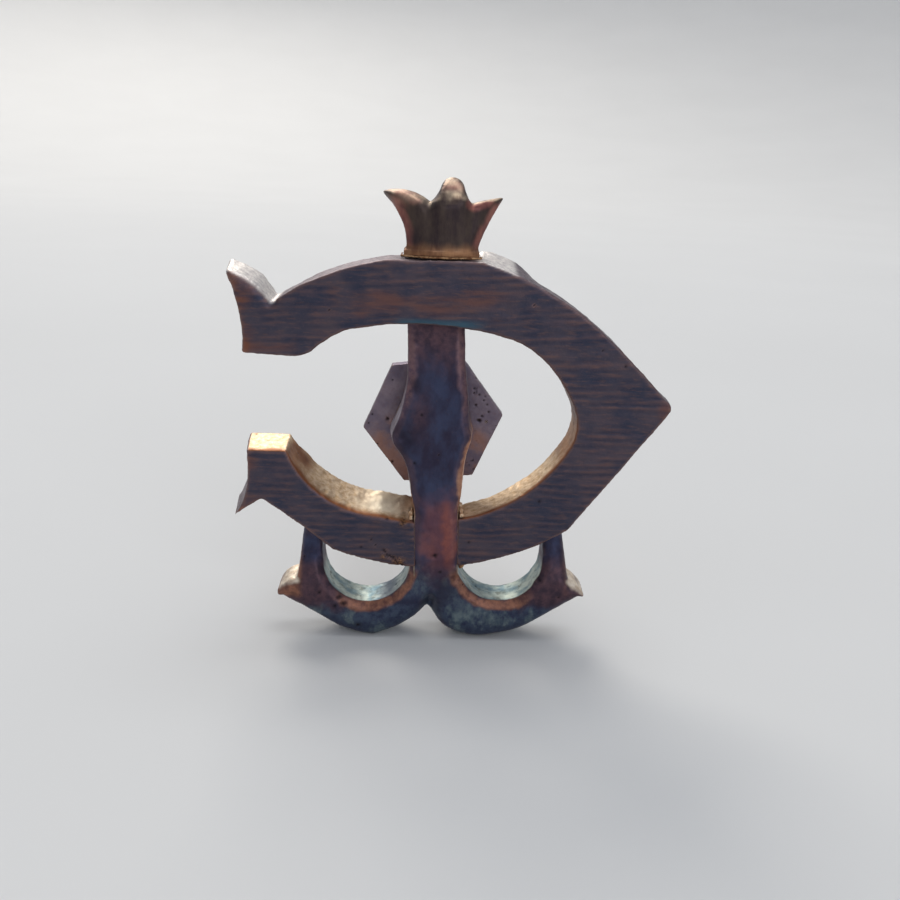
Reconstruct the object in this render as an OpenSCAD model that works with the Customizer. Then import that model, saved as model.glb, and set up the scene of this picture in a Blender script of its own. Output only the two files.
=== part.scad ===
// Cap badge: a coronet over an open ring, with an anchor laced through the ring.
// The three castings are let into each other and soldered. A threaded post stands
// on the anchor's back, and a washer and a thin hexagonal nut clamp it to the cap.
//
// Millimetres. X runs to the wearer's left, Z up, and the face looks along -Y.
// The origin is on the post's axis, in the plane of the badge's back.

/* [Ring] */
// Thickness of the ring, front to back
plate_t = 2.7; // [2.4:0.1:3.2]
// Distance from the post's axis to the ring's left edge
ring_left = 11.6; // [11.2:0.1:12]
// Distance from the post's axis to the tip of the ring's nose
nose_x = 14.6; // [14:0.1:15]
// Height of the nose above the post's axis
nose_z = 2.4; // [2:0.1:2.8]
// Height of the flat on which the coronet stands
ring_top = 10.9; // [10.7:0.1:11.2]
// Lowest point of the ring's outer edge
ring_low = 8.7; // [8.5:0.1:8.9]
// Highest point of the opening inside the ring
hole_top = 7.1; // [6.9:0.1:7.3]
// Lowest point of the opening inside the ring
hole_low = 5.6; // [5.4:0.1:5.8]
// Height of the upper end's lower edge, above the mouth
mouth_top = 5.0; // [4.8:0.1:5.2]
// Depth of the lower end's upper edge, below the post's axis
mouth_low = 1.1; // [0.9:0.1:1.3]

/* [Anchor] */
// Width of the shank where it crosses the ring
shank_w = 2.9; // [2.8:0.1:3.1]
// Width of the shank above and below the boss
stem_w = 3.6; // [3.4:0.1:3.7]
// Width of the boss that carries the post
boss_w = 5.4; // [5:0.1:5.6]
// Height of the taper above the boss
boss_up = 4.8; // [4.2:0.1:5.4]
// Height of the taper below the boss
boss_down = 3.5; // [3.2:0.1:4]
// Distance from the shank's middle to the centre of each arm's bend
bend_x = 4.35; // [4.3:0.05:4.4]
// Depth of the bends' centres below the post's axis
bend_z = 8.45; // [8.35:0.05:8.55]
// Radius of the inside of each bend
bend_r = 2.8; // [2.7:0.05:2.8]
// Lowest point of the arms
arm_low = 13.85; // [13.7:0.05:14]
// Distance from the shank's middle to each barb's tip
barb_x = 10.25; // [10:0.05:10.5]
// Angle at which the anchor leans in the ring, its foot to the right
anchor_lean = 2; // [1:0.5:2.5]
// Front face of the anchor where it crosses the ring, ahead of the ring's back
cross_front = 3.0; // [2.9:0.1:3.2]
// Front face of the shank where it goes behind the ring
top_front = 1.7; // [1.5:0.1:1.9]

/* [Coronet] */
// Width of the coronet at its foot
coronet_foot = 4.2; // [3.8:0.1:4.4]
// Distance between the outer petals' tips
coronet_spread = 7.3; // [6.8:0.1:7.5]
// Height of the middle petal above the ring
coronet_h = 4.6; // [4.5:0.05:4.8]
// Height of the outer petals above the ring
petal_h = 3.6; // [3.5:0.05:3.7]
// Height of the notches between the petals
notch_h = 3.15; // [3:0.05:3.2]
// How far the middle petal stands to the right of the middle
petal_shift = 0.55; // [0:0.05:0.6]

/* [Post and nut] */
// Diameter of the post's thread
post_d = 3.0; // [2.6:0.1:3.2]
// Length of the post behind the badge
post_len = 17; // [12:0.5:22]
// Width of the nut across its flats
nut_af = 8.0; // [7:0.1:9]
// Thickness of the nut
nut_t = 0.8; // [0.7:0.05:1.2]
// Angle at which the nut has come to rest, seen from the front
nut_turn = 7; // [0:1:59]
// Outside diameter of the washer
washer_d = 5.0; // [4.4:0.1:5.4]
// Thickness of the washer
washer_t = 0.5; // [0.3:0.05:0.6]

/* [Hidden] */
$fn = 64;

bend_steps = 14;        // straight pieces in each rounded stretch of an outline
overrun = 1;            // how far a cutting shape runs past what it cuts
lap_y = -1.3;           // plane in which the ring and the anchor are let into each other
neck_y = -1.2;          // front of the fluke's neck behind the ring
tongue_top = 8.6;       // top of the shank's tongue behind the ring
pocket_low = 5;         // lowest point of the cutter for the tongue's pocket, inside the opening
step_in = 8;            // depth at which the shank's front starts to fall back to the arms
neck_in = 7.15;         // inside edge of each fluke's neck
neck_w = 1.2;           // width of each fluke's neck
neck_top = 5.4;         // depth of the necks' upper ends below the post's axis
neck_front = -1.9;      // front of the fluke's neck below the ring
arm_front = -2.7;       // front of the anchor's arms
notch_x = -0.45;        // where the two arms meet, from the middle between them
shank_x = 0.2;          // middle of the shank, from the middle between the arms
boss_shift = 0.3;       // how far the boss's middle lies to the left of the shank's
spigot_d = 2.0;         // part of the post that is sunk into the boss
spigot_l = 1.2;         // depth to which it is sunk
solder_h = 0.5;         // height of the solder round the post
washer_y = 0.65;        // front of the washer
nut_y = 1.25;           // front of the nut
washer_play = 0.08;     // radial play of the washer on the post
nut_play = 0.05;        // radial play of the nut on the post
tip_chamfer = 0.4;      // chamfer at the post's end
coronet_x = 0.1;        // middle of the coronet
coronet_r = 4.7;        // radius of the coronet's rounded front
coronet_front = -2.2;   // foremost point of the coronet
coronet_back = -0.3;    // flat back of the coronet
band_h = 0.45;          // height of the band at the coronet's foot
band_out = 0.15;        // how far the band stands out
seat = coronet_foot / 2 + 0.35; // half the width of the flat that the coronet stands on
bead_r = 0.35;          // radius of the beads of solder in the corners
bead_in = 0.25;         // how far the beads end short of the ring's faces

brass = [0.62, 0.46, 0.30];
dark_brass = [0.48, 0.36, 0.30];
nut_brass = [0.60, 0.48, 0.42];
solder_grey = [0.72, 0.62, 0.46];

// Centre of the circle through three points
function centre3(a, m, b) =
    let (d = 2 * (a.x * (m.y - b.y) + m.x * (b.y - a.y) + b.x * (a.y - m.y)))
    [((a * a) * (m.y - b.y) + (m * m) * (b.y - a.y) + (b * b) * (a.y - m.y)) / d,
     ((a * a) * (b.x - m.x) + (m * m) * (a.x - b.x) + (b * b) * (m.x - a.x)) / d];

// Points along the arc from a through m to b, without b itself
function arc3(a, m, b, n = bend_steps) =
    let (c = centre3(a, m, b), r = norm(a - c), way = cross(m - a, b - m) > 0 ? 1 : -1)
    let (first = atan2(a.y - c.y, a.x - c.x), last = atan2(b.y - c.y, b.x - c.x))
    let (raw = way * (last - first), sweep = raw < 0 ? raw + 360 : raw)
    [for (i = [0 : n - 1]) c + r * [cos(first + way * sweep * i / n), sin(first + way * sweep * i / n)]];

// A flat shape drawn in X and Z, filling the depth from y_front to y_back
module slab(y_front, y_back) {
    translate([0, y_back, 0])
        rotate([90, 0, 0])
            linear_extrude(y_back - y_front)
                children();
}

// A side profile drawn in Y and Z, run across the width from x_low to x_high
module profile(x_low, x_high) {
    translate([x_low, 0, 0])
        rotate([90, 0, 90])
            linear_extrude(x_high - x_low)
                children();
}

module both_sides() {
    children();
    mirror([1, 0]) children();
}

// The ring's outline: round the outside from the upper end, then back round the opening
module ring_outline() {
    outside = concat(
        arc3([-ring_left + 1.8, 8.1], [-6.3, 9.95], [coronet_x - seat, ring_top]),
        arc3([coronet_x + seat, ring_top], [8.0, 8.4], [12.2, 4.9]),
        arc3([nose_x - 0.45, nose_z + 0.6], [nose_x, nose_z], [nose_x - 0.15, nose_z - 0.4], 4),
        arc3([8.9, -5.8], [0.4, -ring_low], [-7.3, -7.15]));
    lower_end = concat(
        [[-8.2, -6.0]],
        arc3([-ring_left + 0.95, -4.3], [-ring_left + 0.2, -4.8], [-ring_left - 0.75, -5.45], 6),
        arc3([-ring_left - 0.75, -5.45], [-ring_left - 0.1, -4.1], [-ring_left, -mouth_low - 0.1], 8),
        [[-ring_left + 0.1, -mouth_low]]);
    opening = concat(
        arc3([-9.05, -mouth_low], [-7.3, -3.65], [-3.2, -5.3]),
        arc3([-3.2, -5.3], [-0.8, -hole_low - 0.05], [2.0, -5.3], 6),
        arc3([2.0, -5.3], [6.2, -3.2], [8.6, -0.2]),
        arc3([8.6, -0.2], [8.85, 1.2], [8.4, 2.6], 8),
        arc3([8.4, 2.6], [6.95, 4.75], [4.6, 6.35]),
        arc3([4.6, 6.35], [-0.3, hole_top], [-5.2, 6.65]),
        arc3([-5.4, 6.6], [-6.5, 6.0], [-7.5, 5.2], 5),
        arc3([-7.5, 5.2], [-8.2, mouth_top - 0.08], [-9.0, mouth_top - 0.1], 6));
    upper_end = concat(
        [[-ring_left + 0.1, mouth_top]],
        arc3([-ring_left, mouth_top + 0.1], [-ring_left - 0.2, 7.9], [-ring_left - 0.8, 9.5], 8),
        arc3([-ring_left - 0.8, 9.5], [-ring_left - 0.8, 9.8], [-ring_left - 0.5, 9.85], 4),
        arc3([-ring_left - 0.5, 9.85], [-ring_left + 0.7, 9.2], [-ring_left + 1.8, 8.1], 8));
    polygon(concat(outside, lower_end, opening, upper_end));
}

module ring_outline_between_necks() {
    intersection() {
        ring_outline();
        translate([-bend_x, -2 * ring_low]) square([2 * bend_x, 2 * ring_low]);
    }
}

// Turned about the post's axis, as the anchor stands in the ring
module leaning() {
    rotate([0, -anchor_lean, 0]) children();
}

// The places where the ring is cut away for the anchor
module shank_crossing() {
    slab(-plate_t - overrun, lap_y)
        translate([shank_x - shank_w / 2, -ring_low - overrun]) square([shank_w, ring_low - overrun]);
}

module shank_pocket() {
    slab(-top_front, overrun)
        translate([shank_x - stem_w / 2, pocket_low]) square([stem_w, tongue_top - pocket_low]);
}

module neck_pockets() {
    slab(neck_y, overrun)
        both_sides()
            translate([neck_in, -ring_low]) square([neck_w, ring_low - neck_top]);
}

module open_ring() {
    color(dark_brass)
        difference() {
            slab(-plate_t, 0) ring_outline();
            leaning() shank_crossing();
            leaning() shank_pocket();
            leaning() neck_pockets();
        }
}

// The right half of the shank, widening to b at the boss and narrowing again
module half_shank(b) {
    c = shank_w / 2;
    w = stem_w / 2;
    polygon(concat(
        [[0, tongue_top], [w, tongue_top], [w, boss_up + 0.5]],
        arc3([w, boss_up], [w + 0.25, boss_up / 2], [b - 0.15, 0.5], 8),
        arc3([b - 0.15, 0.5], [b, 0], [b - 0.1, -0.5], 6),
        arc3([b - 0.1, -0.5], [w + (b - w) / 3, -boss_down / 2], [w, -boss_down], 8),
        [[w, -boss_down], [c, -hole_low + 0.4], [c, -ring_low - overrun], [0, -ring_low - overrun]]));
}

module shank_outline() {
    translate([shank_x, 0]) {
        half_shank(boss_w / 2 - boss_shift);
        mirror([1, 0]) half_shank(boss_w / 2 + boss_shift);
    }
}

// The right arm with its fluke and barb, starting at x where the two arms meet
module arm_outline(x) {
    bend = [bend_x, -bend_z];
    polygon(concat(
        arc3([x, -11.85], [1.5 + x, -13.2 + x / 2], [4.0, -arm_low]),
        arc3([4.0, -arm_low], [5.8, -13.4], [7.3, -12.5], 6),
        arc3([barb_x - 0.35, -10.9], [barb_x, -10.6], [barb_x - 0.15, -10.3], 4),
        arc3([barb_x - 0.15, -10.3], [9.5, -9.75], [neck_in + neck_w + 0.2, -9.6], 5),
        [[neck_in + neck_w, -6], [neck_in + neck_w, -neck_top], [neck_in, -neck_top]],
        [for (i = [0 : 2 * bend_steps]) bend + bend_r * [cos(90 * i / bend_steps), -sin(90 * i / bend_steps)]],
        [[0, -bend_z]]));
}

module arms_outline() {
    arm_outline(notch_x);
    mirror([1, 0]) arm_outline(-notch_x);
}

module anchor() {
    color(brass)
        difference() {
            union() {
                leaning()
                    intersection() {
                        slab(-cross_front - overrun, 0) shank_outline();
                        profile(-boss_w, boss_w) shank_profile();
                    }
                difference() {
                    leaning()
                        intersection() {
                            slab(-cross_front - overrun, 0) arms_outline();
                            profile(-barb_x - 1, barb_x + 1) arm_profile();
                        }
                    slab(-plate_t - overrun, neck_y) ring_outline();
                    slab(neck_y - overrun, overrun) ring_outline_between_necks();
                }
            }
            rotate([90, 0, 0]) cylinder(d = spigot_d, h = spigot_l);
        }
}

// Front and back of the shank: its front comes forward towards the crossing and falls
// back to the arms, and its back is cut away where it passes over the ring
module shank_profile() {
    ring_in = -hole_low + 0.5;
    foot = -ring_low - overrun;
    ring_out = -ring_low - 0.05;
    polygon([
        [0, tongue_top], [-top_front, tongue_top], [-top_front, hole_top],
        [-cross_front, -hole_low], [-cross_front, -step_in], [arm_front, foot],
        [0, foot], [0, ring_out], [lap_y, ring_out], [lap_y, ring_in], [0, ring_in]]);
}

module arm_profile() {
    polygon([
        [0, -arm_low - overrun], [arm_front, -arm_low - overrun], [arm_front, -9.8],
        [neck_front, -7.2], [neck_front, -6.2], [neck_y, -6.2], [neck_y, -neck_top], [0, -neck_top]]);
}

// The coronet's outline, measured from the middle of its foot
module coronet_outline() {
    f = coronet_foot / 2;
    s = coronet_spread / 2;
    p = petal_shift;
    h = coronet_h;
    polygon(concat(
        [[f, 0], [-f, 0]],
        arc3([-f, band_h], [-f - 0.35, petal_h * 0.6], [-s, petal_h - 0.1], 10),
        arc3([-s, petal_h], [(p - 1.3 - s) / 2 - 0.15, petal_h + 0.2], [p - 1.3, notch_h], 10),
        arc3([p - 1.3, notch_h], [p - 0.9, h - 1.0], [p - 0.7, h - 0.55], 6),
        arc3([p - 0.7, h - 0.55], [p, h], [p + 0.7, h - 0.55], 12),
        arc3([p + 0.7, h - 0.55], [p + 0.9, h - 1.1], [p + 1.15, notch_h], 6),
        arc3([p + 1.15, notch_h], [p + 2.1, notch_h + 0.25], [s, petal_h], 10),
        arc3([s, petal_h - 0.1], [f + 0.7, petal_h * 0.6], [f, band_h], 10)));
}

// The coronet seen from above: flat at the back and rounded in front
module coronet_plan(grow, half_w) {
    intersection() {
        translate([0, coronet_front + coronet_r]) circle(r = coronet_r + grow);
        translate([-half_w, coronet_front - overrun])
            square([2 * half_w, coronet_back - coronet_front + overrun]);
    }
}

module coronet() {
    f = coronet_foot / 2;
    color(dark_brass)
        translate([coronet_x, 0, ring_top]) {
            difference() {
                intersection() {
                    slab(coronet_front - overrun, coronet_back) coronet_outline();
                    linear_extrude(coronet_h) coronet_plan(0, coronet_spread);
                }
                coronet_bevel();
            }
            linear_extrude(band_h) coronet_plan(band_out, f + band_out);
        }
}

// The slope that thins the petals towards their tips
module coronet_bevel() {
    top = coronet_h + overrun;
    profile(-coronet_spread, coronet_spread)
        polygon([[coronet_front - overrun, petal_h - 1.3], [coronet_back - 0.4, coronet_h - 0.1],
                 [coronet_back - 0.4, top], [coronet_front - overrun, top]]);
}

// The rim of solder round the coronet's foot
module coronet_solder() {
    f = coronet_foot / 2 + band_out;
    color(solder_grey)
        translate([coronet_x, 0, ring_top])
            linear_extrude(0.2)
                difference() {
                    coronet_plan(band_out + 0.2, f + 0.2);
                    coronet_plan(band_out, f);
                }
}

// Beads of solder in the corners where the shank crosses the ring
module lap_solder() {
    corners = [[shank_w / 2, -5.35], [shank_w / 2, -8.65]];
    color(solder_grey)
        difference() {
            leaning()
                for (side = [-1, 1], at = corners)
                    translate([shank_x + side * at.x, -bead_in, at.y])
                        rotate([90, 0, 0])
                            cylinder(r = bead_r, h = plate_t - 2 * bead_in);
            slab(-plate_t - overrun, overrun) ring_outline();
            leaning() slab(-plate_t - overrun, overrun) shank_outline();
            leaning() slab(-plate_t - overrun, overrun) arms_outline();
        }
}

// Everything on the post is drawn standing up and laid along Y
module along_y(y) {
    translate([0, y, 0]) rotate([-90, 0, 0]) children();
}

module post() {
    straight = post_len - tip_chamfer;
    color(nut_brass) {
        along_y(-spigot_l) cylinder(d = spigot_d, h = spigot_l);
        along_y(0) cylinder(d = post_d, h = straight);
        along_y(straight) cylinder(d1 = post_d, d2 = post_d - 2 * tip_chamfer, h = tip_chamfer);
    }
}

module post_solder() {
    color(solder_grey)
        along_y(0)
            rotate_extrude()
                polygon([[post_d / 2, 0], [post_d / 2 + 0.75, 0], [post_d / 2, solder_h]]);
}

module washer() {
    color(nut_brass)
        along_y(washer_y)
            difference() {
                cylinder(d = washer_d, h = washer_t);
                translate([0, 0, -overrun]) cylinder(d = post_d + 2 * washer_play, h = washer_t + 2 * overrun);
            }
}

module hex_nut() {
    color(nut_brass)
        along_y(nut_y)
            difference() {
                rotate(-nut_turn) cylinder(d = nut_af / cos(30), h = nut_t, $fn = 6);
                translate([0, 0, -overrun]) cylinder(d = post_d + 2 * nut_play, h = nut_t + 2 * overrun);
            }
}

open_ring();
anchor();
coronet();
coronet_solder();
lap_solder();
post();
post_solder();
washer();
hex_nut();
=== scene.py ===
import itertools
import math

import bmesh
import bpy
import numpy as np
from mathutils import Matrix, Quaternion, Vector
from mathutils.kdtree import KDTree


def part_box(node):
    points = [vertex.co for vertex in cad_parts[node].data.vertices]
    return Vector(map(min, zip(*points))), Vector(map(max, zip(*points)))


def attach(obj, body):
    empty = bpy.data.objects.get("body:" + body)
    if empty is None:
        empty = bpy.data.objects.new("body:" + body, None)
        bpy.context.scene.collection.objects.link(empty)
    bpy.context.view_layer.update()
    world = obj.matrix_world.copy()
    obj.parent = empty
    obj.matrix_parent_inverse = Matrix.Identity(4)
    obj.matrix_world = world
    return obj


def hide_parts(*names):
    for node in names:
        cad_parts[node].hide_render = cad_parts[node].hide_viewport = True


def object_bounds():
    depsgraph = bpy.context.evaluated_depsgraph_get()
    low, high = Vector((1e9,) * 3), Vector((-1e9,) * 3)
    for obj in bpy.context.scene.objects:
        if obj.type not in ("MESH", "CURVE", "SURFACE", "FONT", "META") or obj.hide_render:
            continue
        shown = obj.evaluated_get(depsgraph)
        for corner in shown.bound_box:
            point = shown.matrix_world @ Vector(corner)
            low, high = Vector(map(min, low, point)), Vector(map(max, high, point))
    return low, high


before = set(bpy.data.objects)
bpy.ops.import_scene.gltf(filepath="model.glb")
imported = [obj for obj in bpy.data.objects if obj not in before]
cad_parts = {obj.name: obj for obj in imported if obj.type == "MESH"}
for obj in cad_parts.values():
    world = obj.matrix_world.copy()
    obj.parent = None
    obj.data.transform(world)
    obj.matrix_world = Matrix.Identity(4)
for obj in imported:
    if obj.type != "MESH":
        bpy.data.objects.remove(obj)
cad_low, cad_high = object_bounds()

# The badge is worked in millimetres, and MM takes a length to metres.
# X runs to the right as seen from the front, Z up, and the face looks along -Y.
MM = 0.001


# ---------------------------------------------------------------- camera

VIEW_ELEVATION = 18.4   # degrees above the horizon
VIEW_AZIMUTH = -2.0     # degrees to the right of straight ahead
VIEW_ROLL = 2.5         # degrees that the badge looks turned clockwise
VIEW_DISTANCE = 55.76   # from the camera to the point it looks at
AIM_Z = -0.64           # height on the ring's face at which the camera looks
LENS = 36               # focal length, on a sensor as wide


def add_camera():
    low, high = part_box("open_ring")
    aim = Vector(((low.x + high.x) / 2, low.y, AIM_Z * MM))
    a, e = math.radians(VIEW_AZIMUTH), math.radians(VIEW_ELEVATION)
    back = Vector((math.sin(a) * math.cos(e), -math.cos(a) * math.cos(e), math.sin(e)))
    data = bpy.data.cameras.new("camera")
    data.lens = LENS
    data.sensor_width = LENS
    data.clip_start = 1 * MM
    data.clip_end = 10
    camera = bpy.data.objects.new("camera", data)
    camera.location = aim + back * VIEW_DISTANCE * MM
    camera.rotation_mode = "QUATERNION"
    roll = Quaternion((0, 0, 1), math.radians(VIEW_ROLL))
    camera.rotation_quaternion = (-back).to_track_quat("-Z", "Y") @ roll
    bpy.context.scene.collection.objects.link(camera)
    bpy.context.scene.camera = camera


add_camera()


# ---------------------------------------------------------------- floor and light

FLOOR_FLAT = 0.5        # radius of the flat floor, in metres
FLOOR_BEND = 1.5        # radius of the curve that takes it up all round
FLOOR_TURNS = 96        # sides of the floor's outline
FLOOR_RINGS = 12        # rings of faces in the curve
FLOOR_RISE = 60         # degrees that the curve turns through


def tube_faces(first, around, rings):
    """Faces between rings of points; the first ring starts at point first."""
    faces = []
    for start in range(first, first + rings * around, around):
        for k in range(around):
            a, b = start + k, start + (k + 1) % around
            faces.append((a, a + around, b + around, b))
    return faces


def add_floor(material):
    """A round pale floor that curves up all round."""
    profile = []
    for i in range(FLOOR_RINGS + 1):
        t = math.radians(FLOOR_RISE * i / FLOOR_RINGS)
        profile.append((FLOOR_FLAT + FLOOR_BEND * math.sin(t), FLOOR_BEND * (1 - math.cos(t))))
    points = [(0, 0, 0)]
    for r, z in profile:
        for k in range(FLOOR_TURNS):
            a = 2 * math.pi * k / FLOOR_TURNS
            points.append((r * math.cos(a), r * math.sin(a), z))
    faces = [(0, 1 + k, 1 + (k + 1) % FLOOR_TURNS) for k in range(FLOOR_TURNS)]
    faces += tube_faces(1, FLOOR_TURNS, FLOOR_RINGS)
    mesh = bpy.data.meshes.new("floor")
    mesh.from_pydata(points, [], faces)
    mesh.shade_smooth()
    mesh.materials.append(material)
    floor = bpy.data.objects.new("floor", mesh)
    floor.location = (0, 0, cad_low.z)
    bpy.context.scene.collection.objects.link(floor)


def add_light(name, at, size, power, colour):
    """A round soft light that faces the badge."""
    data = bpy.data.lights.new(name, "AREA")
    data.shape = "DISK"
    data.size = size
    data.energy = power
    data.color = colour
    lamp = bpy.data.objects.new(name, data)
    lamp.location = at
    lamp.rotation_mode = "QUATERNION"
    lamp.rotation_quaternion = (-Vector(at)).to_track_quat("-Z", "Y")
    bpy.context.scene.collection.objects.link(lamp)


def add_lights():
    add_light("key", (-0.30, 0.90, 0.80), 0.70, 7.0, (1.0, 0.95, 0.88))
    add_light("top", (0.20, 0.10, 1.20), 0.90, 5.0, (0.96, 0.98, 1.0))
    add_light("fill", (0.50, -1.10, 0.60), 0.80, 3.0, (0.90, 0.94, 1.0))
    world = bpy.data.worlds.new("world")
    world.use_nodes = True
    sky = world.node_tree.nodes["Background"]
    sky.inputs["Color"].default_value = (0.86, 0.90, 1.0, 1)
    sky.inputs["Strength"].default_value = 0.45
    bpy.context.scene.world = world


bpy.context.scene.view_settings.view_transform = "Standard"
add_lights()


# ---------------------------------------------------------------- shader helpers

class Shader:
    """A Principled material whose nodes are added by short calls."""

    def __init__(self, name):
        self.material = bpy.data.materials.new(name)
        self.material.use_nodes = True
        self.nodes = self.material.node_tree.nodes
        self.links = self.material.node_tree.links
        self.bsdf = self.nodes["Principled BSDF"]
        self.here = self.add("ShaderNodeTexCoord").outputs["Object"]

    def add(self, kind, **settings):
        node = self.nodes.new(kind)
        for key, value in settings.items():
            setattr(node, key, value)
        return node

    def put(self, socket, value):
        if isinstance(value, bpy.types.NodeSocket):
            self.links.new(value, socket)
        elif hasattr(value, "__len__") and len(value) == 3 and socket.type == "RGBA":
            socket.default_value = (*value, 1)
        else:
            socket.default_value = value

    def stretched(self, size, turn=(0, 0, 0)):
        """Object coordinates in lumps of this size in mm, turned by these degrees."""
        node = self.add("ShaderNodeMapping")
        node.inputs["Rotation"].default_value = [math.radians(t) for t in turn]
        node.inputs["Scale"].default_value = [1 / (s * MM) for s in size]
        self.put(node.inputs["Vector"], self.here)
        return node.outputs["Vector"]

    def noise(self, size, detail=3.0, rough=0.5, turn=(0, 0, 0), distortion=0.0):
        node = self.add("ShaderNodeTexNoise")
        self.put(node.inputs["Vector"], self.stretched(size, turn))
        node.inputs["Scale"].default_value = 1
        node.inputs["Detail"].default_value = detail
        node.inputs["Roughness"].default_value = rough
        node.inputs["Distortion"].default_value = distortion
        return node.outputs["Fac"]

    def ramp(self, value, low, high, to_low=0.0, to_high=1.0):
        """value from low to high, taken smoothly to to_low and to_high."""
        node = self.add("ShaderNodeMapRange", interpolation_type="SMOOTHSTEP")
        for key, v in (("Value", value), ("From Min", low), ("From Max", high),
                       ("To Min", to_low), ("To Max", to_high)):
            self.put(node.inputs[key], v)
        return node.outputs["Result"]

    def math(self, operation, a, b=0.0):
        node = self.add("ShaderNodeMath", operation=operation)
        self.put(node.inputs[0], a)
        self.put(node.inputs[1], b)
        return node.outputs[0]

    def mix(self, share, a, b):
        node = self.add("ShaderNodeMix", data_type="RGBA")
        self.put(node.inputs["Factor"], share)
        self.put(node.inputs["A"], a)
        self.put(node.inputs["B"], b)
        return node.outputs["Result"]

    def tones(self, value, a, b, low=0.3, high=0.7):
        """Colour a where value is low and b where it is high."""
        return self.mix(self.ramp(value, low, high), a, b)

    def mark(self, name, share=None):
        """One of the marks that the mesh carries on its points, times share."""
        fac = self.add("ShaderNodeAttribute", attribute_name=name).outputs["Fac"]
        return fac if share is None else self.math("MULTIPLY", fac, share)

    def layers(self, colour, *layers):
        """A colour under others, each laid on where its mark is."""
        for mark, over in layers:
            colour = self.mix(self.mark(mark), colour, over)
        return colour

    def bump(self, height, depth, before=None):
        node = self.add("ShaderNodeBump")
        node.inputs["Strength"].default_value = 1
        node.inputs["Distance"].default_value = depth * MM
        self.put(node.inputs["Height"], height)
        if before:
            self.put(node.inputs["Normal"], before)
        return node.outputs["Normal"]

    def finish(self, colour, roughness, metallic, normal=None):
        self.put(self.bsdf.inputs["Base Color"], colour)
        self.put(self.bsdf.inputs["Roughness"], roughness)
        self.put(self.bsdf.inputs["Metallic"], metallic)
        if normal:
            self.put(self.bsdf.inputs["Normal"], normal)
        return self.material


def srgb(r, g, b):
    """A colour given in 0 to 255 steps as a screen shows it."""
    return tuple(((v / 255 + 0.055) / 1.055) ** 2.4 if v > 10 else v / 3294.6 for v in (r, g, b))


def floor_material():
    s = Shader("floor_pale")
    tone = s.mix(s.noise((60, 60, 60)), (0.62, 0.62, 0.61), (0.66, 0.66, 0.65))
    return s.finish(tone, 0.8, 0.0)


add_floor(floor_material())


# ---------------------------------------------------------------- shape helpers

def noise(points, size, seed=0):
    """Smooth noise from -1 to 1 at points in mm, in lumps of this size: a number or three."""
    at = points / np.array(size, float)
    cell = np.floor(at).astype(np.int64)
    share = at - cell
    share = share * share * (3 - 2 * share)
    total = np.zeros(len(points))
    for corner in itertools.product((0, 1), repeat=3):
        c = cell + corner
        h = c[:, 0] * 374761393 + c[:, 1] * 668265263 + c[:, 2] * 1440662683 + seed * 974634777
        h = (h ^ (h >> 13)) * 1274126177 & 0xFFFFFFFF
        h = (h ^ (h >> 16)) & 0xFFFF
        weight = np.prod(np.where(corner, share, 1 - share), axis=1)
        total += weight * h / 0xFFFF
    return total * 2 - 1


def step(value, low, high):
    """0 below low, 1 above high and smooth between them; low may be the larger."""
    t = np.clip((value - low) / (high - low), 0, 1)
    return t * t * (3 - 2 * t)


def chamfer(away, width, depth):
    """How far back a face lies at this distance from its edge, for a flat bevel."""
    return depth * (1 - np.clip(away / width, 0, 1))


def spot(*offsets):
    """1 at the middle and less and less outwards; each offset is a distance and its reach."""
    return np.exp(-sum((away / reach) ** 2 for away, reach in offsets))


def rounding(away, width, depth):
    """How far back a face lies at this distance from its edge, for a quarter-round edge."""
    t = 1 - np.clip(away / width, 0, 1)
    return depth * (1 - np.sqrt(1 - t * t))


def store(mesh, name, values):
    """Stores one number per point, for the material."""
    attribute = mesh.attributes.new(name, "FLOAT", "POINT")
    attribute.data.foreach_set("value", np.asarray(values, np.float32))


def add_piece(name, mesh, material, body, node):
    mesh.materials.clear()
    mesh.materials.append(material)
    piece = bpy.data.objects.new(name, mesh)
    bpy.context.scene.collection.objects.link(piece)
    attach(piece, body)
    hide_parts(node)


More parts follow.
